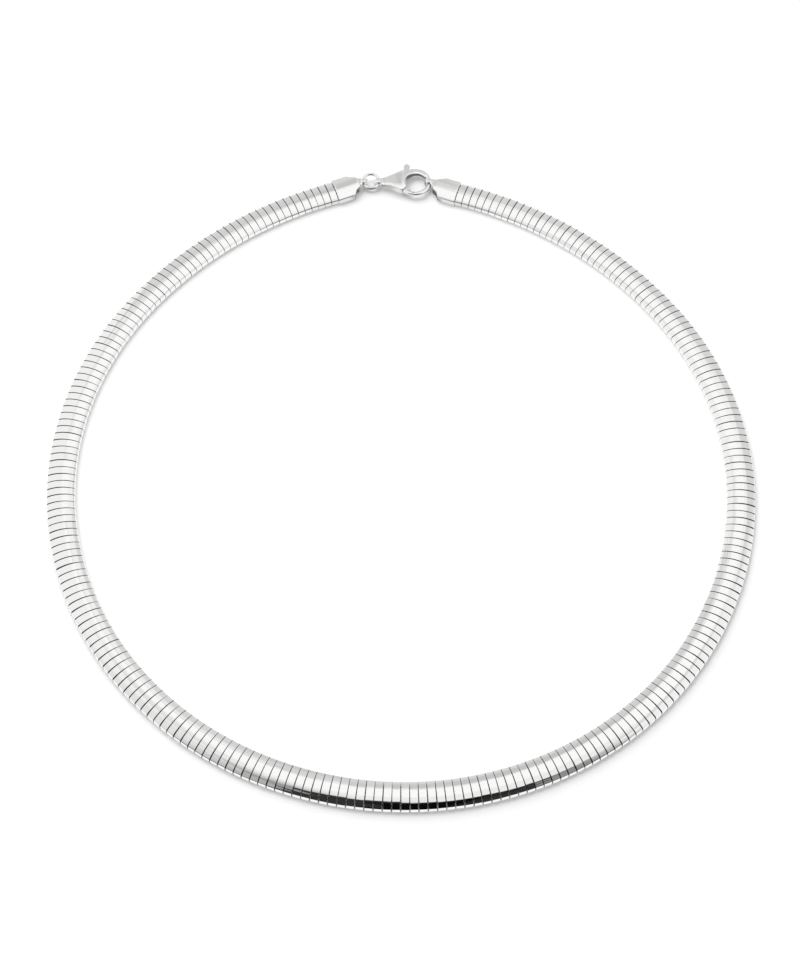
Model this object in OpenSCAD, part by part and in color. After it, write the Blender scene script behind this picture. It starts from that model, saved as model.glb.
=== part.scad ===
// Omega necklace lying closed on a flat surface, plates up.
// Domed plates are crimped onto a flat woven core. Each end is soldered into a cap with a
// cross-drilled eye. A jump ring joins the left cap to a lobster clasp, whose hook goes
// through the eye of the right cap. Lengths are in millimetres.
// X runs from left to right, the clasp is at the back (+Y), and Z is up.

/* [Band] */
// Width of the band across one plate
band_w = 5.9; // [5:0.1:7]
// Height of the band from the resting surface to the crown
band_h = 1.85; // [1.7:0.05:2.4]
// Height of the crown above the middle of the rounded shoulders
crown_rise = 1.1; // [0.8:0.02:1.3]
// Radius that rounds a plate over into its upright side
shoulder_r = 0.45; // [0.3:0.05:0.6]
// Distance from one plate to the next along the middle of the band
plate_pitch = 1.695; // [1.5:0.005:2.6]
// Gap between two plates at the inner edge of the tightest bend
plate_gap = 0.1; // [0.08:0.01:0.2]
// Thickness of the plate's sheet, seen at the lips folded under the band
sheet_t = 0.3; // [0.2:0.05:0.4]
// Width of each lip folded under the band
lip_w = 1.4; // [0.8:0.1:2]

/* [Core] */
// Width of the woven core inside the plates
core_w = 4.6; // [3:0.1:4.8]
// Thickness of the woven core
core_t = 0.7; // [0.4:0.05:0.8]
// Length of core held inside each end cap
core_tongue = 1.5; // [0.8:0.1:2.5]
// Gap between the two halves of the core where they meet at the front
half_gap = 0.05; // [0.02:0.01:0.1]

/* [Shape] */
// Mean radius of the front bends
front_r = 71.05; // [66:0.05:78]
// Mean turn of the front bends in degrees
front_turn = 59.4; // [52:0.2:64]
// Radius of the side bends
side_r = 74.5; // [70:0.2:82]
// Mean turn of the side bends in degrees
side_turn = 66.2; // [60:0.2:70]
// Mean radius of the back bends, which run on to the end caps
back_r = 86.5; // [80:0.1:96]
// How much wider than the mean the left half's front bend lies, and how much tighter the right's
front_uneven = 0.85; // [-2:0.05:2]
// The same for the back bends
back_uneven = 0.5; // [-2:0.05:2]
// Turn that the left half makes in its side bend instead of at the front, in degrees
turn_uneven = 0.6; // [-2:0.1:2]
// Offset of the middle of the clasp stretch from the front middle
clasp_shift = -1.75; // [-6:0.05:6]

/* [End caps] */
// Length of the straight box of a cap
cap_len = 3.8; // [3:0.1:5]
// Plan of a cap past its box: distance beyond the box and half width of the cap there
cap_shoulder = [[0.8, 2.05], [1.9, 1.45]];
// How far a cap stands proud of the band all round
cap_proud = 0.2; // [0.1:0.05:0.3]
// Extra turn of a cap away from the line of the band's end in degrees
cap_turn = 4; // [0:0.5:6]
// Reach of a cap along X from the band's seam to the middle of its eye
cap_reach = 6.6; // [6.2:0.1:8]
// Gap between the last plate and the cap
cap_gap = 0.1; // [0.08:0.01:0.2]
// Clearance round the core inside a cap
pocket_gap = 0.1; // [0.05:0.01:0.15]
// Width of the neck at the eye
neck_w = 1.2; // [1:0.05:1.4]
// Thickness of the neck between the box and the eye
neck_t = 1.6; // [1.4:0.1:1.8]
// Outer radius of each eye
eye_r = 1.02; // [1:0.01:1.1]
// Bore across each eye
eye_bore = 1.38; // [1.36:0.01:1.44]
// Height of the middle of each eye
eye_z = 1.1; // [1.1:0.01:1.3]

/* [Jump ring] */
// Outer diameter of the jump ring
ring_d = 4.42; // [4.3:0.02:5]
// Diameter of its wire
ring_wire = 0.75; // [0.6:0.05:0.8]
// Tilt of the ring, with its back edge raised
ring_tilt = 10; // [6:1:12]
// How far the ring sits outward of the middle of each eye
ring_seat = 0.15; // [0.1:0.01:0.18]
// How far the ring lies behind the line through both eyes
ring_back = 0.4; // [0.2:0.05:0.45]

/* [Clasp] */
// Distance from the middle of the tail eye to the middle of the hook's outer round
hook_reach = 8.5; // [8.3:0.05:9.2]
// Outer radius of the hook
hook_r = 3.85; // [3.7:0.05:4.1]
// Radius of the opening inside the hook
opening_r = 2.55; // [2.4:0.05:2.7]
// Shift of the opening from the middle of the hook's round, towards the tip and the gate
opening_shift = [0.3, -0.2];
// Play between the hook and the eye of the right cap
hook_seat = 0.05; // [0.02:0.01:0.1]
// Radius of the round section of the hook
hook_wire_r = 0.52; // [0.46:0.01:0.56]
// Thickness of the clasp's body at its middle
body_t = 2.2; // [1.9:0.05:2.2]
// Radius of the dome on both faces of the body
face_r = 14; // [12:0.5:20]
// Thickness of the body's rim, round the domes
rim_t = 1.04; // [0.9:0.02:1.1]
// Angle round the hook at which the flat rim gives way to round wire
rim_end = 30; // [24:1:60]
// Middle of the domes from the tail eye
dome_mid = [5.4, -0.1];
// Back edge of the body from the tail to the round of the hook, from the tail eye
back_edge = [[0.4, 1.05], [1.8, 1.45], [3.8, 2.3], [5, 3], [6.4, 3.5]];
// Front edge of the body from the tail to the round of the hook
front_edge = [[0.4, -0.95], [1.6, -1.05], [2.9, -1.4], [4.4, -2.2], [6.2, -3.1]];
// Angle round the hook at which its tip meets the gate
tip_angle = -97; // [-104:1:-90]
// Slant of the split between tip and gate
split_slant = 46.7; // [42:0.1:50]
// Gap of the split
split_gap = 0.12; // [0.08:0.01:0.15]

/* [Lever] */
// Place of the lever's pivot from the tail eye, along and across the clasp
pivot = [4.33, -0.45];
// Diameter of the pivot pin
pin_d = 0.8; // [0.6:0.05:0.9]
// Running gap round the pin
pin_gap = 0.06; // [0.04:0.01:0.1]
// Radius of the lever's hub
hub_r = 0.95; // [0.85:0.05:1.1]
// Thickness of the lever inside the body's slot
lever_t = 0.8; // [0.6:0.05:0.9]
// Gap on each face of the lever in its slot
slot_gap = 0.1; // [0.06:0.01:0.12]
// Radius about the pivot at which the body gives way to the gate
gate_root_r = 2.42; // [2.36:0.01:2.5]
// Place of the thumb nub's round end from the tail eye
nub = [6.65, 4.5];
// Depth of the upright thumb nub below its round end
nub_depth = 1.5; // [1.2:0.1:2]
// Width of the thumb nub
nub_w = 1.46; // [1.2:0.02:1.6]
// Width of the lever's arm to the gate
gate_arm_w = 1.3; // [1:0.05:1.4]
// Direction of that arm from the pivot in degrees
gate_angle = -38; // [-44:1:-32]
// Length by which the arm runs into the gate
gate_overlap = 1; // [0.6:0.1:1.2]
// Largest opening turn of the lever in degrees
lever_range = 18; // [10:1:20]

/* [Hidden] */
$fn = 48;
eps = 0.01;
half_w = band_w / 2;

// The route: each half leaves the front middle and turns through three bends, [radius, turn]
function bends(side) =
    [[front_r - side * front_uneven, front_turn + side * turn_uneven],
     [side_r, side_turn - side * turn_uneven],
     [back_r - side * back_uneven, 0]];
bends_left = bends(-1);
bends_right = bends(1);

function arc_len(radius, turn) = radius * turn * PI / 180;
function arc_angle(radius, length) = length / radius * 180 / PI;

// Heading at which bend i of a half begins
function start_heading(b, i) = i == 0 ? 0 : start_heading(b, i - 1) + b[i - 1][1];

// Length of route at which bend i of a half begins
function start_len(b, i) = i == 0 ? 0 : start_len(b, i - 1) + arc_len(b[i - 1][0], b[i - 1][1]);

// Centre of bend i: each bend is tangent to the one before it
function bend_centre(b, i) =
    i == 0 ? [0, b[0][0]]
    : bend_centre(b, i - 1)
      + (b[i - 1][0] - b[i][0]) * [sin(start_heading(b, i)), -cos(start_heading(b, i))];

// The bend that a length along a half falls in
function bend_at(b, s) = s < start_len(b, 1) ? 0 : s < start_len(b, 2) ? 1 : 2;

function heading_at(b, s) =
    let (i = bend_at(b, s)) start_heading(b, i) + arc_angle(b[i][0], s - start_len(b, i));

function point_at(b, s) =
    let (i = bend_at(b, s), h = heading_at(b, s))
    bend_centre(b, i) + b[i][0] * [sin(h), -cos(h)];

// Heading and length of a half where it reaches a given distance from the front middle's line
function seam_heading(b, x) = 180 - asin((x - bend_centre(b, 2)[0]) / b[2][0]);
function seam_len(b, x) =
    start_len(b, 2) + arc_len(b[2][0], seam_heading(b, x) - start_heading(b, 2));

// Place and direction on the whole route: s is negative on the left half
function route_point(s) =
    s < 0 ? let (p = point_at(bends_left, -s)) [-p[0], p[1]] : point_at(bends_right, s);
function route_angle(s) = s < 0 ? -heading_at(bends_left, -s) : heading_at(bends_right, s);

// The clasp stretch, from the eye of the left cap to the eye of the right cap
ring_r = (ring_d - ring_wire) / 2;
ring_lift = ring_back * tan(ring_tilt);
tail_eye_from_cap = 2 * (ring_r - ring_seat);
hook_wire_x = hook_reach + (hook_r + opening_shift[0] + opening_r) / 2;
clasp_span = tail_eye_from_cap + hook_wire_x - hook_seat;
left_eye_x = clasp_shift - clasp_span / 2;
right_eye_x = clasp_shift + clasp_span / 2;
left_seam_x = cap_reach - left_eye_x;
right_seam_x = cap_reach + right_eye_x;
left_len = seam_len(bends_left, left_seam_x);
right_len = seam_len(bends_right, right_seam_x);
left_slope = 180 - seam_heading(bends_left, left_seam_x);
right_slope = 180 - seam_heading(bends_right, right_seam_x);
eye_y = (route_point(-left_len)[1] + cap_reach * tan(left_slope + cap_turn)
         + route_point(right_len)[1] + cap_reach * tan(right_slope + cap_turn)) / 2;

// The plates: as many as fit between the seams, all alike
plate_count = round((left_len + right_len) / plate_pitch);
pitch = (left_len + right_len - 2 * cap_gap) / plate_count;
plates_left = round(left_len / pitch);
tightest_r = min(bends_left[0][0], bends_right[0][0], side_r);
plate_len = pitch * (1 - half_w / tightest_r) - plate_gap;
function plate_s(k) = cap_gap - left_len + (k + 0.5) * pitch;
function joint_s(k) = cap_gap - left_len + k * pitch;
core_z = (sheet_t + band_h - crown_rise + shoulder_r) / 2;

// Length of core inside the end of each plate
core_grip = 0.3;
// Depth to which a cap's neck runs into its body, and width of its root as a share of the body's
neck_sink = 0.35;
neck_root = 0.93;

// Moves the front middle of the route to where the whole part's box is centred
function half_out(b) = b[1][0] + (b[0][0] - b[1][0]) * sin(b[0][1]) + half_w;
nub_r = nub_w / 2;
back_out = eye_y + nub[1] + nub_r;
shift = [(half_out(bends_left) - half_out(bends_right)) / 2, (half_w - back_out) / 2, 0];

// Section of a plate or cap: upright sides, rounded shoulders and a shallow crown
module domed_section(half, height, rise, corner) {
    lean = 2 * atan((rise - corner) / (half - corner));
    crown_r = (half - corner) / sin(lean) + corner;
    shoulder_z = height - rise;
    intersection() {
        translate([0, height - crown_r]) circle(crown_r, $fn = 96);
        translate([0, height - crown_r])
            polygon([[0, 0], [2 * crown_r * sin(lean), 2 * crown_r * cos(lean)],
                     [-2 * crown_r * sin(lean), 2 * crown_r * cos(lean)]]);
        translate([-half, 0]) square([2 * half, height]);
    }
    for (side = [-1, 1])
        translate([side * (half - corner), shoulder_z]) circle(corner);
    translate([-half, 0]) square([2 * half, shoulder_z]);
}

// Section of a plate with the core in it: the lips leave the core bare underneath
module plate_section() {
    difference() {
        domed_section(half_w, band_h, crown_rise, shoulder_r);
        translate([lip_w - half_w, -eps])
            square([band_w - 2 * lip_w, sheet_t + eps]);
    }
}

// Stands a section up across the band and gives it a length along the band
module along(length) {
    rotate([90, 0, 90]) linear_extrude(length, center = true) children();
}

module on_route(s) {
    p = route_point(s);
    translate([p[0], p[1], 0]) rotate([0, 0, route_angle(s)]) children();
}

// Core from one plate to the next, from s0 to s1 along the band at the joint s
module core_piece(s, s0, s1) {
    on_route(s)
        translate([s0, -core_w / 2, core_z - core_t / 2]) cube([s1 - s0, core_w, core_t]);
}

// Plates from first to last, with the core between them and a stub of core past both ends
module plate_run(first, last, stub_before, stub_after) {
    reach = pitch - plate_len + core_grip;
    for (k = [first : last])
        on_route(plate_s(k)) along(plate_len) plate_section();
    for (k = [first + 1 : last])
        core_piece(joint_s(k), -reach, reach);
    core_piece(joint_s(first), -stub_before, reach);
    core_piece(joint_s(last + 1), -reach, stub_after);
}

module band_left() {
    color("silver")
        plate_run(0, plates_left - 1, core_tongue, -half_gap / 2);
}

module band_right() {
    color("silver")
        plate_run(plates_left, plate_count - 1, -half_gap / 2, core_tongue);
}

// Plan of a cap from the seam at X = 0: shoulders narrow the box towards the eye
module cap_plan(half) {
    outline = [[-half, half], [cap_len, half],
               for (p = cap_shoulder) [cap_len + p[0], p[1]]];
    last = len(outline) - 1;
    polygon([for (k = [0 : last]) outline[k],
             for (k = [last : -1 : 0]) [outline[k][0], -outline[k][1]]]);
}

// A left-hand cap in the route's frame, with the seam at one end and the eye at the other
module cap(seam, slope, eye) {
    half = half_w + cap_proud;
    height = band_h + cap_proud;
    axis = slope + cap_turn;
    end = cap_shoulder[len(cap_shoulder) - 1];
    mouth = seam + (cap_len + end[0] - neck_sink) * [cos(axis), sin(axis)];
    side = neck_root * end[1] * [-sin(axis), cos(axis)];
    difference() {
        union() {
            translate([seam[0], seam[1], 0]) rotate([0, 0, axis]) intersection() {
                along(4 * cap_len)
                    domed_section(half, height, crown_rise, shoulder_r);
                linear_extrude(2 * height) cap_plan(half);
                rotate([0, 0, -cap_turn]) translate([0, -2 * half, 0])
                    cube([4 * cap_len, 4 * half, 2 * height]);
            }
            translate([0, 0, eye_z - neck_t / 2]) linear_extrude(neck_t)
                polygon([eye + [0, neck_w / 2], eye - [0, neck_w / 2],
                         mouth - side, mouth + side]);
            translate([eye[0], eye[1], eye_z]) rotate([90, 0, 0])
                cylinder(h = neck_w, r = eye_r, center = true);
        }
        translate([eye[0], eye[1], eye_z]) rotate([90, 0, 0])
            cylinder(h = 4 * neck_w, d = eye_bore, center = true);
        translate([seam[0], seam[1], 0]) rotate([0, 0, slope])
            translate([-cap_proud, -core_w / 2 - pocket_gap, core_z - core_t / 2 - pocket_gap])
                cube([core_tongue + pocket_gap + cap_proud, core_w + 2 * pocket_gap,
                      core_t + 2 * pocket_gap]);
    }
}

module end_cap_left() {
    color("silver")
        cap([-left_seam_x, route_point(-left_len)[1]], left_slope, [left_eye_x, eye_y]);
}

module end_cap_right() {
    color("silver") mirror([1, 0, 0])
        cap([-right_seam_x, route_point(right_len)[1]], right_slope, [-right_eye_x, eye_y]);
}

module jump_ring() {
    color("gainsboro")
        translate([left_eye_x + ring_r - ring_seat, eye_y + ring_back, eye_z + ring_lift])
            rotate([ring_tilt, 0, 0])
            rotate_extrude($fn = 64) translate([ring_r, 0]) circle(d = ring_wire);
}

// The clasp is drawn about its tail eye and its own mid plane
module at_clasp() {
    translate([left_eye_x + tail_eye_from_cap, eye_y, eye_z]) children();
}

// The round of the hook with its opening
module hook_plan() {
    difference() {
        translate([hook_reach, 0]) circle(hook_r, $fn = 96);
        translate([hook_reach, 0] + opening_shift) circle(opening_r, $fn = 96);
    }
}

// Half plane on the gate's side of the slanted split, moved away from it by a gap
module gate_side(gap) {
    far = 3 * hook_r;
    mid_r = hook_r - hook_wire_r;
    translate([hook_reach + mid_r * cos(tip_angle), mid_r * sin(tip_angle)])
        rotate(split_slant) translate([-far, gap]) square([2 * far, far]);
}

// Everything below the clasp's middle line, where tip and gate are
module tip_side() {
    translate([0, -2 * hook_r]) square([hook_reach, 2 * hook_r + opening_shift[1]]);
}

// Ring of round section that the hook and the gate are cut from
module hook_ring() {
    translate([hook_reach, 0, 0]) rotate_extrude($fn = 96)
        translate([(hook_r + opening_shift[0] + opening_r) / 2, 0]) circle(hook_wire_r);
}

// Plan of the body, from the tail to the round of the hook
module drop_plan() {
    count = len(back_edge);
    polygon([for (k = [0 : count - 1]) back_edge[k],
             [hook_reach, 0],
             for (k = [len(front_edge) - 1 : -1 : 0]) front_edge[k]]);
    intersection() {
        translate([hook_reach, 0]) circle(hook_r, $fn = 96);
        union() {
            translate([0, -2 * hook_r]) square([hook_reach, 4 * hook_r]);
            translate([hook_reach, 0]) rotate(rim_end) square(2 * hook_r);
        }
    }
}

module body_plan() {
    difference() {
        drop_plan();
        translate([hook_reach, 0] + opening_shift) circle(opening_r, $fn = 96);
        difference() {
            translate([pivot[0], -2 * hook_r]) square([2 * hook_r, 2 * hook_r + pivot[1]]);
            translate(pivot) circle(gate_root_r, $fn = 64);
        }
    }
}

// Arm of the lever from the pivot to a far point, with a square end
module arm(to, width) {
    reach = to - pivot;
    translate(pivot) rotate(atan2(reach[1], reach[0]))
        translate([0, -width / 2]) square([norm(reach), width]);
}

gate_mid = pivot + (gate_root_r + gate_overlap) * [cos(gate_angle), sin(gate_angle)];

// Plan of the lever inside the slot, grown by a gap
module lever_plan(gap) {
    translate(pivot) circle(hub_r + gap);
    arm(nub - [0, nub_depth], nub_w + 2 * gap);
    arm(gate_mid, gate_arm_w + 2 * gap);
    translate(nub) circle(d = nub_w + 2 * gap);
    translate(nub - [nub_w / 2 + gap, nub_depth + nub_w / 2])
        square([nub_w + 2 * gap, nub_depth + nub_w / 2]);
}

module turned(angle) {
    translate(pivot) rotate(angle) translate(-pivot) children();
}

// Room for the lever over its whole turn
module slot_plan() {
    nub_angle = atan2(nub[1] - pivot[1], nub[0] - pivot[0]);
    far = norm(nub - pivot);
    for (angle = [0, lever_range]) turned(angle) lever_plan(slot_gap);
    polygon([pivot, pivot + far * [cos(nub_angle), sin(nub_angle)],
             pivot + far * [cos(nub_angle + lever_range), sin(nub_angle + lever_range)]]);
}

module clasp_body() {
    color("silver") at_clasp() difference() {
        union() {
            intersection() {
                translate([0, 0, -body_t]) linear_extrude(2 * body_t) body_plan();
                union() {
                    intersection_for(side = [-1, 1])
                        translate([dome_mid[0], dome_mid[1], side * (face_r - body_t / 2)])
                            sphere(face_r, $fn = 96);
                    cube([8 * hook_r, 4 * hook_r, rim_t], center = true);
                }
            }
            intersection() {
                hook_ring();
                translate([0, 0, -body_t]) linear_extrude(2 * body_t) difference() {
                    hook_plan();
                    intersection() {
                        tip_side();
                        gate_side(0);
                    }
                }
            }
            rotate([90, 0, 0]) cylinder(h = neck_w, r = eye_r, center = true);
        }
        rotate([90, 0, 0]) cylinder(h = 4 * neck_w, d = eye_bore, center = true);
        difference() {
            translate([0, 0, -lever_t / 2 - slot_gap])
                linear_extrude(lever_t + 2 * slot_gap) slot_plan();
            translate([pivot[0], pivot[1], -body_t]) cylinder(h = 2 * body_t, d = pin_d);
        }
    }
}

module clasp_lever() {
    color("gainsboro") at_clasp() difference() {
        union() {
            translate([0, 0, -lever_t / 2]) linear_extrude(lever_t) {
                difference() {
                    lever_plan(0);
                    translate([hook_reach, 0] + opening_shift) circle(opening_r, $fn = 96);
                }
            }
            intersection() {
                hook_ring();
                translate([0, 0, -body_t]) linear_extrude(2 * body_t) difference() {
                    intersection() {
                        hook_plan();
                        tip_side();
                        gate_side(split_gap);
                    }
                    translate(pivot) circle(gate_root_r + split_gap, $fn = 64);
                }
            }
        }
        translate([pivot[0], pivot[1], -body_t])
            cylinder(h = 2 * body_t, d = pin_d + 2 * pin_gap);
    }
}

translate(shift) {
    band_left();
    band_right();
    end_cap_left();
    end_cap_right();
    jump_ring();
    clasp_body();
    clasp_lever();
}
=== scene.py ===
"""Looks of the omega necklace: domed silver plates on a woven core, with caps, ring and clasp.

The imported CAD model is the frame. Everything is in metres, with +Y towards the clasp and +Z up.
The plates and the woven core stand for the two band nodes, and the caps and the clasp are
softened copies of their solids.
"""

import logging
import math
from dataclasses import dataclass, field
from enum import Enum
from typing import Any

import bmesh
import bpy
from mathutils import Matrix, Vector

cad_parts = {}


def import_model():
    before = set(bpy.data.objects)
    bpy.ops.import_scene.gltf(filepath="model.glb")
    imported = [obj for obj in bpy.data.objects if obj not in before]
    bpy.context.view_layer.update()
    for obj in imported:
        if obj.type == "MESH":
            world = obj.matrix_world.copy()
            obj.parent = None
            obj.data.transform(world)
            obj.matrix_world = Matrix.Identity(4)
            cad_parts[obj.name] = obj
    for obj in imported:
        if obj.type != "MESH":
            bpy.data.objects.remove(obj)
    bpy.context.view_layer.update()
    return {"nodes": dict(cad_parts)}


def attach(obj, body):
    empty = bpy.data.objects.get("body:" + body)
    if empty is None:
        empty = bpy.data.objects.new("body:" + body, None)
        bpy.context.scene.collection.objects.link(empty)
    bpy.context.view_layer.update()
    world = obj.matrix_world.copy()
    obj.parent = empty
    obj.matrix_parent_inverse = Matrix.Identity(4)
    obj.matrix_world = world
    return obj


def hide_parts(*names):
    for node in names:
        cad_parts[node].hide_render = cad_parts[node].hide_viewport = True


MM = 0.001  # metres in a millimetre
WELD = 1e-7  # points nearer than this are one, in metres
LOG = logging.getLogger("omega_necklace")


class Half(Enum):
    """The two halves of the band, with the side that each lies on."""

    LEFT = -1
    RIGHT = 1


class Slot(Enum):
    """The material slots, one for each kind of part."""

    BAND = "band"
    END_CAPS = "end_caps"
    JUMP_RING = "jump_ring"
    CLASP = "clasp"
    LEVER = "lever"


class Num:
    """A number socket of a node tree that takes part in Python expressions."""

    def __init__(self, tree: "Tree", socket: bpy.types.NodeSocket) -> None:
        """Keeps a socket and the tree that it belongs to."""
        self.tree = tree
        self.socket = socket

    def _math(self, operation: str, first: Any, second: Any = 0.0) -> "Num":
        """Adds one Math node.

        Args:
            operation: The Math node's operation.
            first: A number or a Num.
            second: A number or a Num.

        Returns:
            The node's result.
        """
        node = self.tree.add("ShaderNodeMath", {"operation": operation}, {0: first, 1: second})
        return Num(self.tree, node.outputs[0])

    def __add__(self, other: Any) -> "Num":
        """Adds two values."""
        return self._math("ADD", self, other)

    def __mul__(self, other: Any) -> "Num":
        """Multiplies two values."""
        return self._math("MULTIPLY", self, other)

    __rmul__ = __mul__

    def __sub__(self, other: Any) -> "Num":
        """Subtracts a value from this one."""
        return self._math("SUBTRACT", self, other)

    def __rsub__(self, other: Any) -> "Num":
        """Subtracts this value from another."""
        return self._math("SUBTRACT", other, self)

    def wave(self) -> "Num":
        """Takes the sine."""
        return self._math("SINE", self)

    def remainder(self, other: Any) -> "Num":
        """Takes the floored remainder of a division."""
        return self._math("FLOORED_MODULO", self, other)


class Tree:
    """A node tree with one method that adds any node."""

    def __init__(self, tree: bpy.types.NodeTree) -> None:
        """Keeps the tree."""
        self.tree = tree

    def add(
        self,
        kind: str,
        settings: dict[str, Any] | None = None,
        inputs: dict[Any, Any] | None = None,
    ) -> bpy.types.Node:
        """Adds a node.

        Args:
            kind: The node's type.
            settings: Its own properties, set first.
            inputs: Values, sockets or Nums for its input sockets, by name or index.

        Returns:
            The node.
        """
        node = self.tree.nodes.new(kind)
        for name, value in (settings or {}).items():
            setattr(node, name, value)
        for name, value in (inputs or {}).items():
            if isinstance(value, Num):
                value = value.socket
            if isinstance(value, bpy.types.NodeSocket):
                self.tree.links.new(value, node.inputs[name])
            else:
                node.inputs[name].default_value = value
        return node

    def num(self, node: bpy.types.Node, output: str | int = 0) -> Num:
        """Wraps one of a node's outputs."""
        return Num(self, node.outputs[output])


def new_material(name: str) -> tuple[bpy.types.Material, Tree]:
    """Makes a material that has no nodes yet.

    Args:
        name: Its name.

    Returns:
        The material and its node tree.
    """
    made = bpy.data.materials.new(name)
    made.use_nodes = True
    made.node_tree.nodes.clear()
    return made, Tree(made.node_tree)


def add_object(name: str, data: Any) -> bpy.types.Object:
    """Adds an object to the scene.

    Args:
        name: Its name.
        data: Its mesh, camera or light.

    Returns:
        The object.
    """
    made = bpy.data.objects.new(name, data)
    bpy.context.scene.collection.objects.link(made)
    return made


@dataclass(frozen=True)
class Silver:
    """Polished silver, painted near black as shade where its surface is marked as lying in a gap or
    a hollow.

    Attributes:
        name: The material's name.
        colour: Colour of the clean metal.
        painted_shade_colour: Colour painted as shade in the gaps between plates and in their
            hollows.
        roughness: Roughness of the clean metal.
        recess_roughness: Roughness where the painted shade lies.
        ripple: Height of the slow unevenness left by hand polishing, in metres.
        ripple_size: Number of ripples in a metre.
        hairline: Change of roughness by fine scratches.
        hairline_scale: How many times finer than the ripples the scratches are.
    """

    name: str
    colour: tuple[float, float, float] = (0.955, 0.95, 0.945)
    painted_shade_colour: tuple[float, float, float] = (0.02, 0.02, 0.021)
    roughness: float = 0.06
    recess_roughness: float = 0.5
    ripple: float = 0.000004
    ripple_size: float = 420.0
    hairline: float = 0.05
    hairline_scale: float = 14.0

    def material(self) -> bpy.types.Material:
        """Builds the material.

        Returns:
            The material.
        """
        made, tree = new_material(self.name)
        place = tree.add("ShaderNodeTexCoord").outputs["Object"]
        # Mask of painted shade in the gaps and hollows, which also roughens the metal there.
        recess = tree.num(tree.add("ShaderNodeAttribute", {"attribute_name": "recess"}), "Fac")
        slow = tree.add(
            "ShaderNodeTexNoise", {}, {"Vector": place, "Scale": self.ripple_size, "Detail": 1.0}
        )
        scratches = self.ripple_size * self.hairline_scale
        fine = tree.num(
            tree.add(
                "ShaderNodeTexNoise", {}, {"Vector": place, "Scale": scratches, "Detail": 3.0}
            )
        )
        # Painted shade: the colour turns near black where the mask is set.
        shade = tree.add(
            "ShaderNodeMix",
            {"data_type": "RGBA"},
            {0: recess, 6: (*self.colour, 1.0), 7: (*self.painted_shade_colour, 1.0)},
        )
        polish = (fine - 0.5) * self.hairline + self.roughness
        rough = polish + recess * (self.recess_roughness - self.roughness)
        bump = tree.add(
            "ShaderNodeBump",
            {},
            {"Height": slow.outputs[0], "Strength": 1.0, "Distance": self.ripple},
        )
        shader = tree.add(
            "ShaderNodeBsdfPrincipled",
            {},
            {
                "Base Color": shade.outputs[2],
                "Metallic": 1.0,
                "Roughness": rough,
                "Normal": bump.outputs[0],
            },
        )
        tree.add("ShaderNodeOutputMaterial", {}, {"Surface": shader.outputs[0]})
        return made


@dataclass(frozen=True)
class Tabletop:
    """Matt white surface that the necklace lies on.

    Attributes:
        name: The material's name.
        colour: Its colour.
        roughness: Its roughness.
        gloss: Its specular level.
        grain: Height of its fine grain, in metres.
        grain_size: Number of grains in a metre.
    """

    name: str = "white_tabletop"
    colour: tuple[float, float, float] = (0.93, 0.93, 0.93)
    roughness: float = 0.7
    gloss: float = 0.2
    grain: float = 0.000005
    grain_size: float = 900.0

    def material(self) -> bpy.types.Material:
        """Builds the material.

        Returns:
            The material.
        """
        made, tree = new_material(self.name)
        place = tree.add("ShaderNodeTexCoord").outputs["Object"]
        noise = tree.add("ShaderNodeTexNoise", {}, {"Vector": place, "Scale": self.grain_size})
        bump = tree.add(
            "ShaderNodeBump", {}, {"Height": noise.outputs[0], "Distance": self.grain}
        )
        shader = tree.add(
            "ShaderNodeBsdfPrincipled",
            {},
            {
                "Base Color": (*self.colour, 1.0),
                "Roughness": self.roughness,
                "Specular IOR Level": self.gloss,
                "Normal": bump.outputs[0],
            },
        )
        tree.add("ShaderNodeOutputMaterial", {}, {"Surface": shader.outputs[0]})
        return made


@dataclass(frozen=True)
class Bend:
    """One bend of the route: its radius in metres and its turn in degrees."""

    radius: float
    turn: float


@dataclass(frozen=True)
class Route:
    """The line through the middle of one half of the band, from the front middle to its cap.

    Attributes:
        half: The half that it belongs to.
        bends: The bends in order. The last one runs on to the cap.
        seam_x: Distance along X from the front middle to the seam with the cap.
        origin: Place of the front middle.
    """

    half: Half
    bends: tuple[Bend, ...]
    seam_x: float
    origin: tuple[float, float]

    def _starts(self) -> list[tuple[float, float, float, float]]:
        """Lists each bend's start.

        Returns:
            For each bend its length along the route, heading in radians, and centre x and y.
        """
        rows = [(0.0, 0.0, 0.0, self.bends[0].radius)]
        for before, after in zip(self.bends, self.bends[1:]):
            length, heading, x, y = rows[-1]
            heading += math.radians(before.turn)
            change = before.radius - after.radius
            rows.append(
                (
                    length + before.radius * math.radians(before.turn),
                    heading,
                    x + change * math.sin(heading),
                    y - change * math.cos(heading),
                )
            )
        return rows

    def length(self) -> float:
        """Works out the half's length.

        Returns:
            The length from the front middle to the seam.
        """
        length, heading, x, _ = self._starts()[-1]
        radius = self.bends[-1].radius
        end = math.pi - math.asin((self.seam_x - x) / radius)
        return length + radius * (end - heading)

    def at(self, along: float) -> tuple[float, float, float]:
        """Place on the route.

        Args:
            along: Length from the front middle.

        Returns:
            Place x and y, and the direction of the whole loop there in radians.
        """
        rows = self._starts()
        index = max(i for i, row in enumerate(rows) if along >= row[0] or i == 0)
        length, heading, x, y = rows[index]
        radius = self.bends[index].radius
        turn = heading + (along - length) / radius
        side = self.half.value
        px = side * (x + radius * math.sin(turn)) + self.origin[0]
        py = y - radius * math.cos(turn) + self.origin[1]
        return px, py, side * turn


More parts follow.
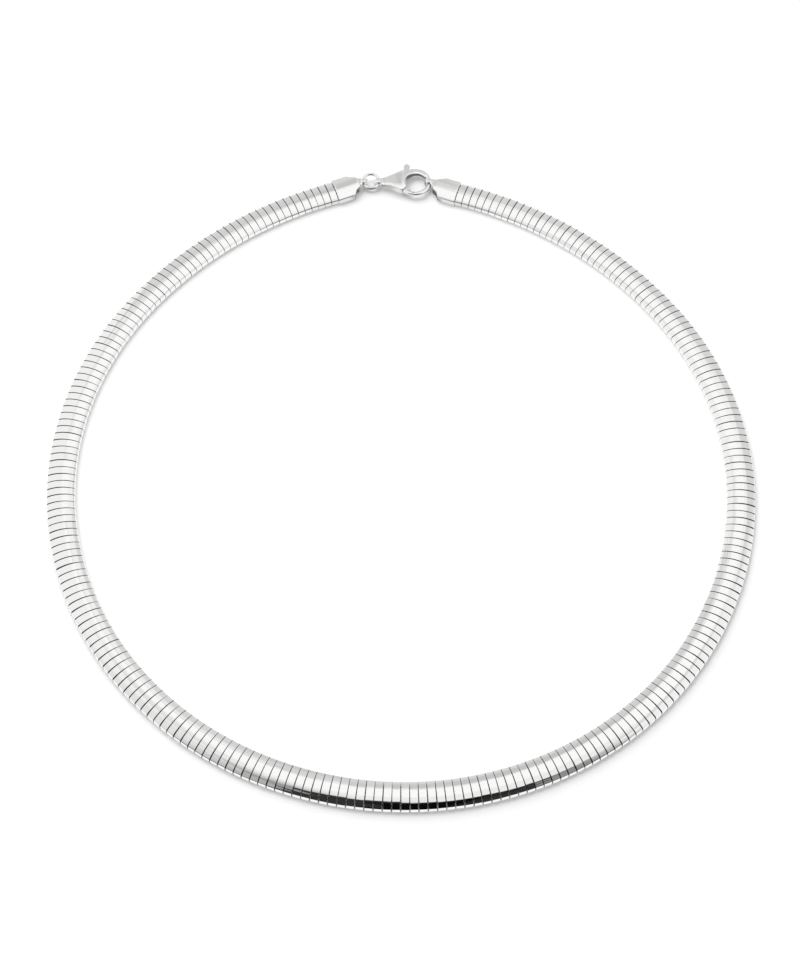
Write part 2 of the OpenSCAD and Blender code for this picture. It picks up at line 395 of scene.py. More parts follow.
@dataclass(frozen=True)
class NecklaceLine:
    """The driving sizes of the whole route, as the source gives them.

    Attributes:
        front_r: Mean radius of the front bends.
        front_turn: Mean turn of the front bends.
        side_r: Radius of the side bends.
        side_turn: Mean turn of the side bends.
        back_r: Mean radius of the back bends.
        front_uneven: How much wider than the mean the left front bend is.
        back_uneven: How much wider than the mean the left back bend is.
        turn_uneven: Turn that the left half makes in its side bend instead of at the front.
        seam_mean: Mean distance along X from the front middle to the seams with the caps.
        clasp_shift: Offset of the clasp stretch from the front middle.
        cap_gap: Gap between the last plate of each half and its cap.
        plates: Number of plates round the loop.
        origin: Place of the front middle.
    """

    front_r: float = 71.05 * MM
    front_turn: float = 59.4
    side_r: float = 74.5 * MM
    side_turn: float = 66.2
    back_r: float = 86.5 * MM
    front_uneven: float = 0.85 * MM
    back_uneven: float = 0.5 * MM
    turn_uneven: float = 0.6
    seam_mean: float = 14.185 * MM
    clasp_shift: float = -1.75 * MM
    cap_gap: float = 0.1 * MM
    plates: int = 253
    origin: tuple[float, float] = (0.749981 * MM, -76.4862 * MM)

    def route(self, half: Half) -> Route:
        """Works out the route of one half.

        Args:
            half: The half.

        Returns:
            Its route.
        """
        side = half.value
        uneven = side * self.turn_uneven
        bends = (
            Bend(self.front_r - side * self.front_uneven, self.front_turn + uneven),
            Bend(self.side_r, self.side_turn - uneven),
            Bend(self.back_r - side * self.back_uneven, 0.0),
        )
        return Route(half, bends, self.seam_mean + side * self.clasp_shift, self.origin)


class GeometryTree(Tree):
    """A geometry tree with named inputs, run once on an object and turned into a plain mesh."""

    def __init__(self, name: str) -> None:
        """Makes an empty tree with a geometry input and output.

        Args:
            name: The tree's name.
        """
        group = bpy.data.node_groups.new(name, "GeometryNodeTree")
        super().__init__(group)
        group.interface.new_socket("Geometry", in_out="INPUT", socket_type="NodeSocketGeometry")
        group.interface.new_socket("Geometry", in_out="OUTPUT", socket_type="NodeSocketGeometry")
        self.source = group.nodes.new("NodeGroupInput")
        self.result = group.nodes.new("NodeGroupOutput")
        self.values: dict[str, Any] = {}

    def given(self, name: str, kind: str, value: Any) -> bpy.types.NodeSocket:
        """Adds a named input.

        Args:
            name: The input's name.
            kind: The socket's type, such as Float.
            value: Its value on the modifier.

        Returns:
            The socket inside the tree.
        """
        socket = self.tree.interface.new_socket(
            name, in_out="INPUT", socket_type=f"NodeSocket{kind}"
        )
        self.values[socket.identifier] = value
        return self.source.outputs[name]

    def given_number(self, name: str, value: float) -> Num:
        """Adds a named number as an input.

        Args:
            name: The input's name.
            value: Its value on the modifier.

        Returns:
            The number inside the tree.
        """
        return Num(self, self.given(name, "Float", value))

    def finish(self, geometry: bpy.types.NodeSocket, material: bpy.types.Material) -> None:
        """Realizes the instances and sets the material.

        Args:
            geometry: The geometry to finish.
            material: Its material.
        """
        real = self.add("GeometryNodeRealizeInstances", {}, {"Geometry": geometry})
        metal = self.given("Metal", "Material", material)
        dressed = self.add(
            "GeometryNodeSetMaterial", {}, {"Geometry": real.outputs[0], "Material": metal}
        )
        self.tree.links.new(dressed.outputs[0], self.result.inputs[0])

    def run(self, base: bpy.types.Object, name: str) -> bpy.types.Object:
        """Runs the tree on an object and keeps the result as a plain mesh.

        Args:
            base: The object that carries the points or the curve. It is removed.
            name: The new piece's name.

        Returns:
            The new piece.
        """
        modifier = base.modifiers.new("shape", "NODES")
        modifier.node_group = self.tree
        for identifier, value in self.values.items():
            modifier[identifier] = value
        bpy.context.view_layer.update()
        graph = bpy.context.evaluated_depsgraph_get()
        mesh = bpy.data.meshes.new_from_object(base.evaluated_get(graph))
        mesh.name = name
        base.modifiers.remove(modifier)
        bpy.data.objects.remove(base)
        return add_object(name, mesh)


def point_object(
    name: str, points: list[tuple[float, float, float]], joined: bool
) -> bpy.types.Object:
    """Makes an object of bare points, or of one line through them.

    Args:
        name: The object's name.
        points: The points.
        joined: True for a line.

    Returns:
        The object.
    """
    mesh = bpy.data.meshes.new(name)
    edges = [(i, i + 1) for i in range(len(points) - 1)] if joined else []
    mesh.from_pydata(points, edges, [])
    return add_object(name, mesh)


@dataclass
class PlateShape:
    """One crimped plate: a domed sheet with upright sides and lips folded under.

    Attributes:
        width: Width across the band.
        height: Height of the crown.
        rise: Height of the crown above the middle of the shoulders.
        shoulder: Radius of the shoulders.
        length: Length along the band.
        sheet: Thickness of the sheet.
        lip: Width of each lip.
        foot: Size of the fold between a side and its lip.
        edge: Size of the softened ends.
        crown_steps: Number of faces across the crown.
        shoulder_steps: Number of faces round each shoulder.
        edge_painted_shade: How much painted shade darkens the softened ends next to the gaps, from
            0 to 1.
        crease: Turn between two faces, in degrees, from which their edge is drawn sharp.
    """

    width: float = 5.9 * MM
    height: float = 1.85 * MM
    rise: float = 1.1 * MM
    shoulder: float = 0.45 * MM
    length: float = 1.54 * MM
    sheet: float = 0.3 * MM
    lip: float = 1.4 * MM
    foot: float = 0.12 * MM
    edge: float = 0.03 * MM
    crown_steps: int = 6
    shoulder_steps: int = 2
    edge_painted_shade: float = 0.3
    crease: float = 40.0

    def outer(self, inset: float = 0.0) -> list[tuple[float, float]]:
        """Section of the plate's outer side, from one lip over the crown to the other.

        Args:
            inset: How far inside the surface the section lies.

        Returns:
            Points across and up.
        """
        half = self.width / 2
        lean = 2 * math.atan((self.rise - self.shoulder) / (half - self.shoulder))
        crown = (half - self.shoulder) / math.sin(lean) + self.shoulder
        right = [
            (half - self.lip, inset),
            (half - self.foot, inset),
            (half - inset, self.foot),
        ]
        for step in range(self.shoulder_steps):
            angle = (math.pi / 2 - lean) * step / self.shoulder_steps
            reach = self.shoulder - inset
            right.append(
                (
                    half - self.shoulder + reach * math.cos(angle),
                    self.height - self.rise + reach * math.sin(angle),
                )
            )
        for step in range(self.crown_steps // 2 + 1):
            angle = lean * (1 - 2 * step / self.crown_steps)
            reach = crown - inset
            right.append((reach * math.sin(angle), self.height - crown + reach * math.cos(angle)))
        return right + [(-y, z) for y, z in reversed(right[:-1])]

    def inner(self) -> list[tuple[float, float]]:
        """Section of the hollow, from the inside of one lip to the inside of the other.

        Returns:
            Points across and up.
        """
        half = self.width / 2
        wall = half - self.sheet
        right = [
            (half - self.lip, self.sheet),
            (wall, self.sheet),
            (wall, self.height - self.rise),
        ]
        return right + [(0.0, self.height - self.sheet)] + [(-y, z) for y, z in reversed(right)]

    def build(self, name: str) -> bpy.types.Object:
        """Builds the plate about the middle of its foot, with its length along X.

        Args:
            name: The object's name.

        Returns:
            The plate.
        """
        shape = bmesh.new()
        # Painted shade: the ends, the inside and the lip ends are marked dark, the softened ends
        # partly, as the gaps and the hollow lie in shade.
        recess = shape.faces.layers.float.new("recess")
        end = self.length / 2
        rings = [
            [shape.verts.new((x, y, z)) for y, z in section]
            for x, section in (
                (-end, self.outer(self.edge)),
                (-end + self.edge, self.outer()),
                (end - self.edge, self.outer()),
                (end, self.outer(self.edge)),
                (end, self.inner()),
                (-end, self.inner()),
            )
        ]
        # Painted shade for each band of faces, in ring order; the crown gets none.
        shades = (self.edge_painted_shade, 0.0, self.edge_painted_shade, 1.0, 1.0, 1.0)
        for first, second, shade in zip(rings, rings[1:] + rings[:1], shades):
            known = set(shape.faces)
            self._bridge(shape, first, second)
            for face in set(shape.faces) - known:
                face[recess] = shade
        for side in (0, -1):
            shape.faces.new([ring[side] for ring in rings])[recess] = 1.0
        bmesh.ops.recalc_face_normals(shape, faces=shape.faces)
        for face in shape.faces:
            face.smooth = True
        for edge in shape.edges:
            across = abs(edge.verts[0].co.x - edge.verts[1].co.x) < WELD
            edge.smooth = not across and edge.calc_face_angle(0.0) < math.radians(self.crease)
        mesh = bpy.data.meshes.new(name)
        shape.to_mesh(mesh)
        shape.free()
        return add_object(name, mesh)

    @staticmethod
    def _bridge(
        shape: bmesh.types.BMesh,
        first: list[bmesh.types.BMVert],
        second: list[bmesh.types.BMVert],
    ) -> None:
        """Joins two rings of points that may differ in number.

        Args:
            shape: The mesh.
            first: Points of one ring.
            second: Points of the other ring.
        """
        i = j = 0
        while i < len(first) - 1 or j < len(second) - 1:
            ahead_i = (i + 1) * (len(second) - 1)
            ahead_j = (j + 1) * (len(first) - 1)
            if ahead_i == ahead_j:
                shape.faces.new((first[i], first[i + 1], second[j + 1], second[j]))
                i, j = i + 1, j + 1
            elif ahead_i < ahead_j:
                shape.faces.new((first[i], first[i + 1], second[j]))
                i += 1
            else:
                shape.faces.new((first[i], second[j + 1], second[j]))
                j += 1


@dataclass
class OmegaBand:
    """One half of the band: its plates and the woven core inside them.

    Attributes:
        half: The half.
        route: Its middle line.
        node: The CAD node that it stands for.
        plates: Number of plates.
        pitch: Length of route that one plate takes.
        offset: Length of route between the front middle and the first plate's near end.
        shape: The plate.
        finish: The plates' silver, which paints shade on their marked ends and insides.
        core_silver_painted_shade: The core's silver, painted dark grey as shade in the gaps between
            plates.
        core_z: Height of the core's middle.
        core_wires: Number of wires side by side.
        wire_gap: Distance between their middle lines.
        wire_radius: Radius of a wire.
        wire_sides: Number of faces round a wire.
        weave_step: Length of route that a quarter of a wave takes.
        weave_sway: How far a wire waves to each side.
        weave_lift: How far it waves up and down.
        roll: Most that a plate is turned about the route, in degrees.
        pitching: Most that it is tipped along the route, in degrees.
        yaw: Most that it is turned about the upright, in degrees.
        seed: Start of the random draws.
        tongue: How far the core goes on into the cap.
        overlap: How far the core goes on past the front seam.
    """

    half: Half
    route: Route
    node: str
    plates: int
    pitch: float
    offset: float
    shape: PlateShape
    finish: Silver
    core_silver_painted_shade: Silver
    core_z: float = 0.75 * MM
    core_wires: int = 8
    wire_gap: float = 0.52 * MM
    wire_radius: float = 0.15 * MM
    wire_sides: int = 5
    weave_step: float = 0.24 * MM
    weave_sway: float = 0.17 * MM
    weave_lift: float = 0.12 * MM
    roll: float = 1.1
    pitching: float = 0.8
    yaw: float = 0.5
    seed: int = 3
    tongue: float = 1.4 * MM
    overlap: float = 0.15 * MM

    def plate_row(self) -> bpy.types.Object:
        """Sets the plates along the route with slight differences from one to the next.

        Returns:
            The row of plates as one mesh.
        """
        places = [self.route.at(self.offset + (k + 0.5) * self.pitch) for k in range(self.plates)]
        base = point_object(f"{self.node}_points", [(x, y, 0.0) for x, y, _ in places], False)
        heading = base.data.attributes.new("heading", "FLOAT", "POINT")
        heading.data.foreach_set("value", [turn for _, _, turn in places])
        plate = self.shape.build("plate")
        tree = GeometryTree(f"{self.node}_row")
        source = tree.given("Plate", "Object", plate)
        seed = tree.given("Seed", "Int", self.seed)
        tilts = []
        limits = (("Roll", self.roll), ("Pitch", self.pitching), ("Yaw", self.yaw))
        for order, (name, limit) in enumerate(limits):
            most = tree.given_number(name, math.radians(limit))
            chance = tree.add(
                "FunctionNodeRandomValue",
                {"data_type": "FLOAT"},
                {2: -1.0, 3: 1.0, "Seed": Num(tree, seed) + order},
            )
            tilts.append(tree.num(chance, 1) * most)
        turn = tree.add(
            "GeometryNodeInputNamedAttribute", {"data_type": "FLOAT"}, {"Name": "heading"}
        )
        angles = tree.add(
            "ShaderNodeCombineXYZ",
            {},
            {0: tilts[0], 1: tilts[1], 2: tilts[2] + tree.num(turn)},
        )
        shown = tree.add("GeometryNodeObjectInfo", {}, {"Object": source})
        placed = tree.add(
            "GeometryNodeInstanceOnPoints",
            {},
            {
                "Points": tree.source.outputs["Geometry"],
                "Instance": shown.outputs["Geometry"],
                "Rotation": angles.outputs[0],
            },
        )
        tree.finish(placed.outputs[0], self.finish.material())
        row = tree.run(base, f"plates_{self.half.name.lower()}")
        bpy.data.objects.remove(plate)
        return row

    def woven_core(self) -> bpy.types.Object:
        """Weaves the core from wavy wires that run along the route.

        Returns:
            The core as one mesh.
        """
        near = self.offset - self.overlap
        far = self.offset + self.plates * self.pitch + self.tongue
        steps = round((far - near) / self.weave_step)
        points = []
        for k in range(steps + 1):
            x, y, _ = self.route.at(near + (far - near) * k / steps)
            points.append((x, y, self.core_z))
        base = point_object(f"{self.node}_line", points, True)
        tree = GeometryTree(f"{self.node}_weave")
        wires = tree.given("Wires", "Int", self.core_wires)
        gap = tree.given_number("Wire gap", self.wire_gap)
        sway = tree.given_number("Sway", self.weave_sway)
        lift = tree.given_number("Lift", self.weave_lift)
        radius = tree.given_number("Wire radius", self.wire_radius)
        line = tree.add("GeometryNodeMeshToCurve", {}, {0: tree.source.outputs["Geometry"]})
        copies = tree.add(
            "GeometryNodeDuplicateElements",
            {"domain": "SPLINE"},
            {"Geometry": line.outputs[0], "Amount": wires},
        )
        lane = tree.add(
            "GeometryNodeStoreNamedAttribute",
            {"data_type": "FLOAT", "domain": "CURVE"},
            {"Geometry": copies.outputs[0], "Name": "lane", "Value": copies.outputs[1]},
        )
        number = tree.num(
            tree.add("GeometryNodeInputNamedAttribute", {"data_type": "FLOAT"}, {"Name": "lane"})
        )
        quarter = math.pi / 2
        phase = tree.num(tree.add("GeometryNodeSplineParameter"), "Index") * quarter
        side = 1 - 2 * number.remainder(2)
        across = (number - (self.core_wires - 1) / 2) * gap + phase.wave() * sway * side
        up = (phase + quarter).wave() * lift * side
        tangent = tree.add("GeometryNodeInputTangent").outputs[0]
        normal = tree.add(
            "ShaderNodeVectorMath",
            {"operation": "CROSS_PRODUCT"},
            {0: tangent, 1: (0.0, 0.0, 1.0)},
        ).outputs[0]
        shift = tree.add(
            "ShaderNodeVectorMath", {"operation": "SCALE"}, {0: normal, "Scale": across}
        ).outputs[0]
        raised = tree.add("ShaderNodeCombineXYZ", {}, {2: up}).outputs[0]
        moved = tree.add(
            "ShaderNodeVectorMath", {"operation": "ADD"}, {0: shift, 1: raised}
        ).outputs[0]
        woven = tree.add(
            "GeometryNodeSetPosition", {}, {"Geometry": lane.outputs[0], "Offset": moved}
        )
        ring = tree.add(
            "GeometryNodeCurvePrimitiveCircle",
            {},
            {"Resolution": self.wire_sides, "Radius": radius},
        )
        wire = tree.add(
            "GeometryNodeCurveToMesh",
            {},
            {"Curve": woven.outputs[0], "Profile Curve": ring.outputs[0], "Fill Caps": True},
        )
        smooth = tree.add("GeometryNodeSetShadeSmooth", {}, {0: wire.outputs[0]})
        tree.finish(smooth.outputs[0], self.core_silver_painted_shade.material())
        return tree.run(base, f"core_{self.half.name.lower()}")

    def build(self) -> list[bpy.types.Object]:
        """Builds the half and lets it ride on the necklace.

        Returns:
            The row of plates and the core.
        """
        pieces = [self.plate_row(), self.woven_core()]
        for piece in pieces:
            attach(piece, "necklace")
            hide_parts(self.node)
        return pieces


@dataclass
class CastPiece:
    """A small polished piece: a softened copy of its solid, with every edge rounded over.

    Attributes:
        node: The CAD node that it stands for.
        name: The piece's name.
        body: The body that it rides on.
        slot: The material slot meant for it; not used.
        finish: Its finish.
        grain: Size of the cells that the copy is rebuilt from.
        passes: How often the surface is smoothed.
        round_over: How often its heights alone are smoothed, which rounds the top edges.
        strength: How far each smoothing goes, from 0 to 1.
        keep: Share of the faces that is kept.
    """

    node: str
    name: str
    body: str
    slot: Slot
    finish: Silver
    grain: float = 0.055 * MM
    passes: int = 12
    round_over: int = 90
    strength: float = 0.5
    keep: float = 0.6

    def build(self, nodes: dict[str, bpy.types.Object]) -> bpy.types.Object:
        """Copies, rebuilds and smooths the solid.

        Args:
            nodes: The CAD nodes by name.

        Returns:
            The piece.
        """
        mesh = nodes[self.node].data.copy()
        shape = bmesh.new()
        shape.from_mesh(mesh)
        bmesh.ops.remove_doubles(shape, verts=shape.verts, dist=WELD)
        shape.to_mesh(mesh)
        shape.free()
        copy = add_object(f"{self.name}_solid", mesh)
        cells = copy.modifiers.new("cells", "REMESH")
        cells.mode = "VOXEL"
        cells.voxel_size = self.grain
        cells.use_smooth_shade = True
        for name, passes, across in (("soft", self.passes, True), ("over", self.round_over, False)):
            smooth = copy.modifiers.new(name, "SMOOTH")
            smooth.factor = self.strength
            smooth.iterations = passes
            smooth.use_x = smooth.use_y = across
        thin = copy.modifiers.new("thin", "DECIMATE")
        thin.ratio = self.keep
        bpy.context.view_layer.update()
        graph = bpy.context.evaluated_depsgraph_get()
        softened = bpy.data.meshes.new_from_object(copy.evaluated_get(graph))
        bpy.data.objects.remove(copy)
        softened.name = self.name
        softened.materials.clear()
        softened.materials.append(self.finish.material())
        for face in softened.polygons:
            face.use_smooth = True
            face.material_index = 0
        piece = add_object(self.name, softened)
        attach(piece, self.body)
        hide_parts(self.node)
        return piece


class Wall(Enum):
    """The tent's faces: a name, and the two axes that places on the face are given along."""

    FLOOR = ("floor", 0, 1)
    ROOF = ("roof", 0, 1)
    LEFT = ("left", 1, 2)
    RIGHT = ("right", 1, 2)
    REAR = ("rear", 0, 2)
    FRONT = ("front", 0, 2)


@dataclass(frozen=True)
class Panel:
    """A cloth panel, a screen or an opening on one wall of the light tent, with soft edges.

    Attributes:
        wall: The wall that it is on.
        first: Its reach along the wall's first axis, in metres.
        second: Its reach along the second axis.
        level: Its brightness as the metal mirrors it.
        soft: Width of its soft edge.
    """

    wall: Wall
    first: tuple[float, float]
    second: tuple[float, float]
    level: float
    soft: float = 0.03

    def cover(self, point: Vector) -> float:
        """Tells how much of the panel covers a point of its wall.

        Args:
            point: The point.

        Returns:
            A share from 0 to 1.
        """
        share = 1.0
        _, *axes = self.wall.value
        for axis, (low, high) in zip(axes, (self.first, self.second)):
            for depth in (point[axis] - low, high - point[axis]):
                part = min(max(depth / self.soft + 0.5, 0.0), 1.0)
                share *= part * part * (3 - 2 * part)
        return share


@dataclass
class LightTent:
    """A box of glowing panels that only reflections see, dark on the camera's side.

    Attributes:
        low: Lowest corner of the tent.
        high: Highest corner.
        cloth: Brightness where there is no panel.
        step: Distance between the points that carry the brightness.
        floor_step: The same on the tent's floor.
        floor: Height of the tent's floor, just above the tabletop.
    """

    low: tuple[float, float, float] = (-0.205, -0.5, -0.02)
    high: tuple[float, float, float] = (0.25, 0.32, 0.4)
    cloth: float = 0.92
    step: float = 0.01
    floor_step: float = 0.002
    floor: float = 0.00002

    def panels(self) -> tuple[Panel, ...]:
        """Lists the panels in the order in which they are laid over each other.

        Returns:
            The panels.
        """
        ever = 9.0
        return (
            # The floor, dimmed round the clasp and dark by the hook and the two eyes.
            Panel(Wall.FLOOR, (-ever, ever), (-ever, ever), 1.0, 0.01),
            Panel(Wall.FLOOR, (-0.02, 0.018), (0.06, 0.085), 0.8, 0.008),
            Panel(Wall.FLOOR, (0.0012, 0.0062), (0.0713, 0.0765), 0.03, 0.002),
            Panel(Wall.FLOOR, (-0.0105, -0.0035), (0.0695, 0.073), 0.08, 0.002),
            Panel(Wall.FLOOR, (0.006, 0.0095), (0.0695, 0.073), 0.05, 0.002),
            # The bright panels overhead, at the sides and at the rear.
            Panel(Wall.ROOF, (-0.11, 0.235), (-0.02, 0.255), 1.0, 0.05),
            Panel(Wall.ROOF, (-ever, -0.12), (-0.12, 0.12), 0.80, 0.05),
            Panel(Wall.ROOF, (-ever, ever), (-0.17, -0.04), 0.88, 0.06),
            Panel(Wall.ROOF, (-0.13, 0.005), (0.245, ever), 0.82, 0.02),
            Panel(Wall.RIGHT, (0.06, ever), (-ever, 0.26), 0.70, 0.06),
            Panel(Wall.RIGHT, (-0.2, 0.08), (0.3, ever), 0.74, 0.05),
            Panel(Wall.REAR, (-ever, ever), (-ever, 0.34), 0.70, 0.08),
            Panel(Wall.REAR, (0.06, 0.14), (0.3, ever), 0.92, 0.05),
            Panel(Wall.REAR, (-0.13, 0.01), (0.14, 0.42), 0.66, 0.03),
            Panel(Wall.REAR, (-0.045, 0.0), (0.14, ever), 0.575, 0.02),
            Panel(Wall.REAR, (0.02, 0.05), (-ever, 0.2), 0.60, 0.02),
            # The sides, which darken towards the front.
            Panel(Wall.LEFT, (-0.16, -0.04), (-ever, ever), 0.80, 0.05),
            Panel(Wall.LEFT, (-ever, -0.15), (-ever, ever), 0.62, 0.06),
            Panel(Wall.LEFT, (-ever, -0.22), (-ever, ever), 0.45, 0.06),
            Panel(Wall.LEFT, (-ever, -0.3), (-ever, 0.1), 0.25, 0.06),
            Panel(Wall.RIGHT, (-ever, -0.17), (-ever, ever), 0.5, 0.05),
            Panel(Wall.RIGHT, (-ever, -0.22), (-ever, ever), 0.28, 0.05),
            Panel(Wall.RIGHT, (-ever, -0.24), (-ever, 0.1), 0.12, 0.04),
            # The roof, dark towards the front.
            Panel(Wall.ROOF, (-ever, -0.06), (-ever, -0.09), 0.6, 0.06),
            Panel(Wall.ROOF, (-ever, -0.12), (-ever, -0.15), 0.34, 0.03),
            Panel(Wall.ROOF, (-0.13, 0.0), (-ever, -0.145), 0.03, 0.016),
            Panel(Wall.ROOF, (-0.02, 0.2), (-ever, -0.18), 0.02, 0.016),
            Panel(Wall.ROOF, (0.19, ever), (-0.29, -0.18), 0.25, 0.03),
            Panel(Wall.ROOF, (-ever, -0.1), (-ever, -0.27), 0.03, 0.05),
            Panel(Wall.ROOF, (0.15, ever), (-ever, -0.29), 0.03, 0.04),
            Panel(Wall.ROOF, (-0.04, 0.1), (-ever, -0.185), 0.003, 0.02),
            # The dark front and the dark parts of the sides next to it.
            Panel(Wall.FRONT, (-ever, ever), (-ever, ever), 0.03, 0.04),
            Panel(Wall.LEFT, (-ever, -0.34), (-ever, ever), 0.03, 0.06),
            Panel(Wall.LEFT, (-ever, -0.17), (-ever, 0.11), 0.05, 0.04),
            Panel(Wall.RIGHT, (-ever, -0.2), (-ever, 0.13), 0.03, 0.04),
            Panel(Wall.RIGHT, (-ever, -0.38), (-ever, ever), 0.03, 0.06),
            Panel(Wall.FRONT, (-0.09, 0.13), (-ever, ever), 0.003, 0.05),
        )

    def walls(self) -> list[tuple[Wall, Vector, Vector, Vector]]:
        """Lists the tent's floor, roof and four sides.

        Returns:
            For each the wall, a corner and the two edges that leave it.
        """
        low, high = Vector(self.low), Vector(self.high)
        size = high - low
        along_x, along_y = Vector((size.x, 0, 0)), Vector((0, size.y, 0))
        along_z = Vector((0, 0, size.z))
        return [
            (Wall.FLOOR, Vector((low.x, low.y, self.floor)), along_x, along_y),
            (Wall.ROOF, low + along_z, along_x, along_y),
            (Wall.LEFT, low, along_y, along_z),
            (Wall.RIGHT, low + along_x, along_y, along_z),
            (Wall.FRONT, low, along_x, along_z),
            (Wall.REAR, low + along_y, along_x, along_z),
        ]

    def material(self) -> bpy.types.Material:
        """Makes the panels glow as brightly as their points say.

        Returns:
            The material.
        """
        made, tree = new_material("tent_cloth")
        glow = tree.add("ShaderNodeAttribute", {"attribute_name": "glow"})
        light = tree.add("ShaderNodeEmission", {}, {"Strength": glow.outputs["Fac"]})
        tree.add("ShaderNodeOutputMaterial", {}, {"Surface": light.outputs[0]})
        return made

    def build(self) -> bpy.types.Object:
        """Builds the tent, hidden from the camera, from diffuse light and from shadows.

        Returns:
            The tent.
        """
        points: list[Vector] = []
        levels: list[float] = []
        faces: list[tuple[int, ...]] = []
        panels = self.panels()
        for wall, corner, first, second in self.walls():
            step = self.floor_step if wall is Wall.FLOOR else self.step
            across = math.ceil(first.length / step)
            up = math.ceil(second.length / step)
            start = len(points)
            for j in range(up + 1):
                for i in range(across + 1):
                    point = corner + first * (i / across) + second * (j / up)
                    level = self.cloth
                    for panel in panels:
                        if panel.wall is wall:
                            level += panel.cover(point) * (panel.level - level)
                    points.append(point)
                    levels.append(level)
            row = across + 1
            for j in range(up):
                for i in range(across):
                    k = start + j * row + i
                    faces.append((k, k + 1, k + row + 1, k + row))
        mesh = bpy.data.meshes.new("light_tent")
        mesh.from_pydata(points, [], faces)
        glow = mesh.attributes.new("glow", "FLOAT", "POINT")
        glow.data.foreach_set("value", levels)
        mesh.materials.append(self.material())
        made = add_object("light_tent", mesh)
        made.visible_camera = False
        made.visible_diffuse = False
        made.visible_transmission = False
        made.visible_shadow = False
        return made


@dataclass(frozen=True)
class Softbox:
    """A square softbox that faces the middle of the necklace and isn't mirrored by it.

    Attributes:
        name: Its name.
        place: Where it hangs.
        size: Its side.
        power: Its power in watts.
    """

    name: str = "rear_softbox"
    place: tuple[float, float, float] = (-0.6, 1.35, 1.2)
    size: float = 1.9
    power: float = 44.0

    def build(self) -> bpy.types.Object:
        """Hangs the softbox.

        Returns:
            The light.
        """
        data = bpy.data.lights.new(self.name, "AREA")
        data.shape = "SQUARE"
        data.size = self.size
        data.energy = self.power
        made = add_object(self.name, data)
        made.location = self.place
        made.rotation_euler = Vector(self.place).to_track_quat("Z", "Y").to_euler()
        made.visible_glossy = False
        return made


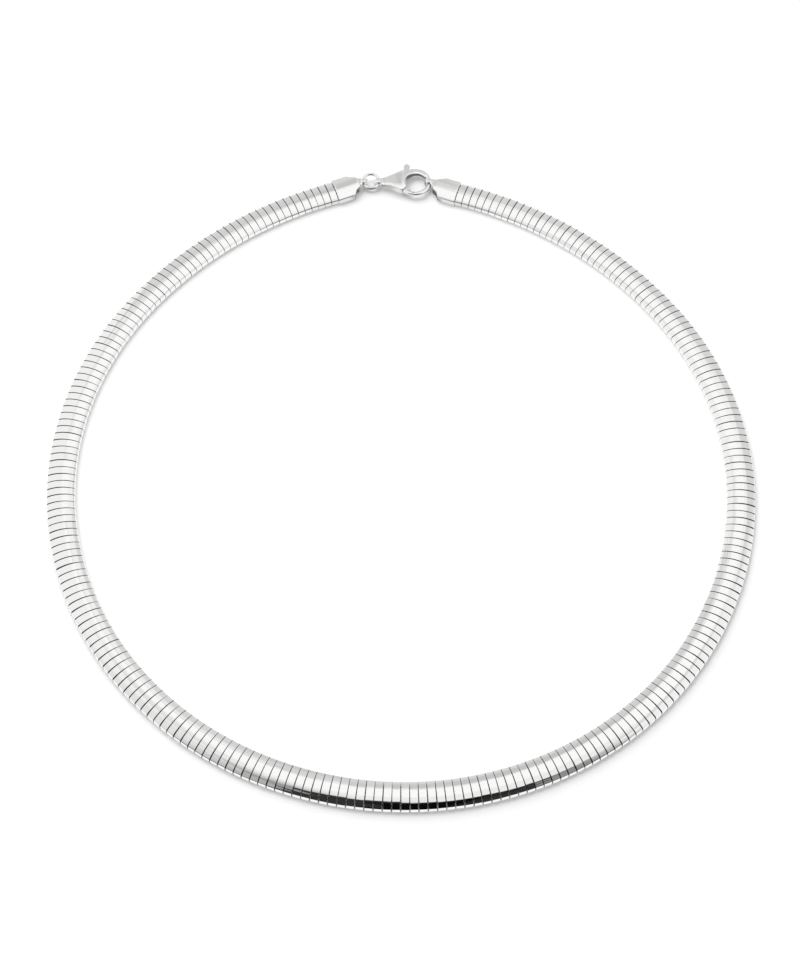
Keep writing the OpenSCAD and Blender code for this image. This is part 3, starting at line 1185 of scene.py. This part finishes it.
@dataclass
class Studio:
    """The camera, the white tabletop and the light.

    Attributes:
        aim: The point that the camera looks at.
        distance: Distance from there to the camera.
        elevation: Height of the camera above the horizon in degrees.
        focal_pixels: Focal length in pixels of the photograph.
        frame_width: Width of the photograph in pixels.
        sensor: Width of the camera's sensor in millimetres.
        clip: Nearest and farthest distance that the camera sees.
        fill: Brightness of the light from all round.
        floor_size: Side of the tabletop.
        floor: The tabletop's finish.
        tent: The light tent.
        softbox: The softbox.
    """

    aim: tuple[float, float, float] = (-0.17 * MM, -8.656 * MM, 1.8 * MM)
    distance: float = 0.393
    elevation: float = 59.453
    focal_pixels: float = 1876.8
    frame_width: int = 800
    sensor: float = 36.0
    clip: tuple[float, float] = (0.01, 20.0)
    fill: float = 0.58
    floor_size: float = 40.0
    floor: Tabletop = field(default_factory=Tabletop)
    tent: LightTent = field(default_factory=LightTent)
    softbox: Softbox = field(default_factory=Softbox)

    def camera(self) -> bpy.types.Object:
        """Sets the camera where the photograph was taken from.

        Returns:
            The camera.
        """
        data = bpy.data.cameras.new("photo_camera")
        data.sensor_fit = "HORIZONTAL"
        data.sensor_width = self.sensor
        data.lens = self.sensor * self.focal_pixels / self.frame_width
        data.clip_start, data.clip_end = self.clip
        made = add_object("photo_camera", data)
        rise = math.radians(self.elevation)
        away = Vector((0.0, -math.cos(rise), math.sin(rise)))
        made.location = Vector(self.aim) + away * self.distance
        made.rotation_euler = (-away).to_track_quat("-Z", "Y").to_euler()
        bpy.context.scene.camera = made
        return made

    def tabletop(self) -> bpy.types.Object:
        """Lays the tabletop under the necklace.

        Returns:
            The tabletop.
        """
        mesh = bpy.data.meshes.new("tabletop")
        reach = self.floor_size / 2
        signs = ((-1, -1), (1, -1), (1, 1), (-1, 1))
        corners = [(x * reach, y * reach, 0.0) for x, y in signs]
        mesh.from_pydata(corners, [], [(0, 1, 2, 3)])
        mesh.materials.append(self.floor.material())
        made = add_object("tabletop", mesh)
        return made

    def all_round_light(self) -> bpy.types.World:
        """Lights the scene evenly from all round.

        Returns:
            The world.
        """
        world = bpy.data.worlds.new("all_round_light")
        world.use_nodes = True
        world.node_tree.nodes.clear()
        tree = Tree(world.node_tree)
        light = tree.add(
            "ShaderNodeBackground", {}, {"Color": (1.0, 1.0, 1.0, 1.0), "Strength": self.fill}
        )
        tree.add("ShaderNodeOutputWorld", {}, {"Surface": light.outputs[0]})
        world.cycles_visibility.glossy = False
        bpy.context.scene.world = world
        return world

    def build(self) -> None:
        """Sets up the camera, the tabletop and the light."""
        self.camera()
        self.tabletop()
        self.all_round_light()
        self.tent.build()
        self.softbox.build()
        bpy.context.scene.view_settings.view_transform = "Standard"


def main() -> None:
    """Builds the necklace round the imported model."""
    logging.basicConfig(level=logging.INFO, format="%(message)s")
    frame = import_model()
    line = NecklaceLine()
    left, right = (line.route(half) for half in Half)
    pitch = (left.length() + right.length() - 2 * line.cap_gap) / line.plates
    left_count = round(left.length() / pitch)
    start = left_count * pitch - (left.length() - line.cap_gap)
    shape = PlateShape()
    plate_silver = Silver("plate_silver")
    # Painted shade: the core is dark grey so that the gaps between plates read as shadow.
    core_silver = Silver(
        "core_silver", colour=(0.16, 0.16, 0.16), roughness=0.4, painted_shade_colour=(0.05, 0.05, 0.05)
    )
    bands = [
        OmegaBand(
            half, route, node, count, pitch, offset, shape, plate_silver, core_silver, seed=seed
        )
        for half, route, node, count, offset, seed in (
            (Half.LEFT, left, "band_left", left_count, -start, 3),
            (Half.RIGHT, right, "band_right", line.plates - left_count, start, 17),
        )
    ]
    for band in bands:
        for piece in band.build():
            LOG.info("%s: %d faces", piece.name, len(piece.data.polygons))
    cast = Silver("cast_silver", roughness=0.08, ripple=0.000005, ripple_size=300.0)
    for part in (
        CastPiece("end_cap_left", "cap_left", "necklace", Slot.END_CAPS, cast),
        CastPiece("end_cap_right", "cap_right", "necklace", Slot.END_CAPS, cast),
        CastPiece(
            "jump_ring", "link_ring", "necklace", Slot.JUMP_RING, cast, passes=4, round_over=0
        ),
        CastPiece("clasp_body", "clasp_shell", "necklace", Slot.CLASP, cast, round_over=300),
        CastPiece("clasp_lever", "clasp_gate", "lever", Slot.LEVER, cast, passes=6, round_over=12),
    ):
        piece = part.build(frame["nodes"])
        LOG.info("%s: %d faces", piece.name, len(piece.data.polygons))
    Studio().build()


if __name__ == "__main__":
    main()
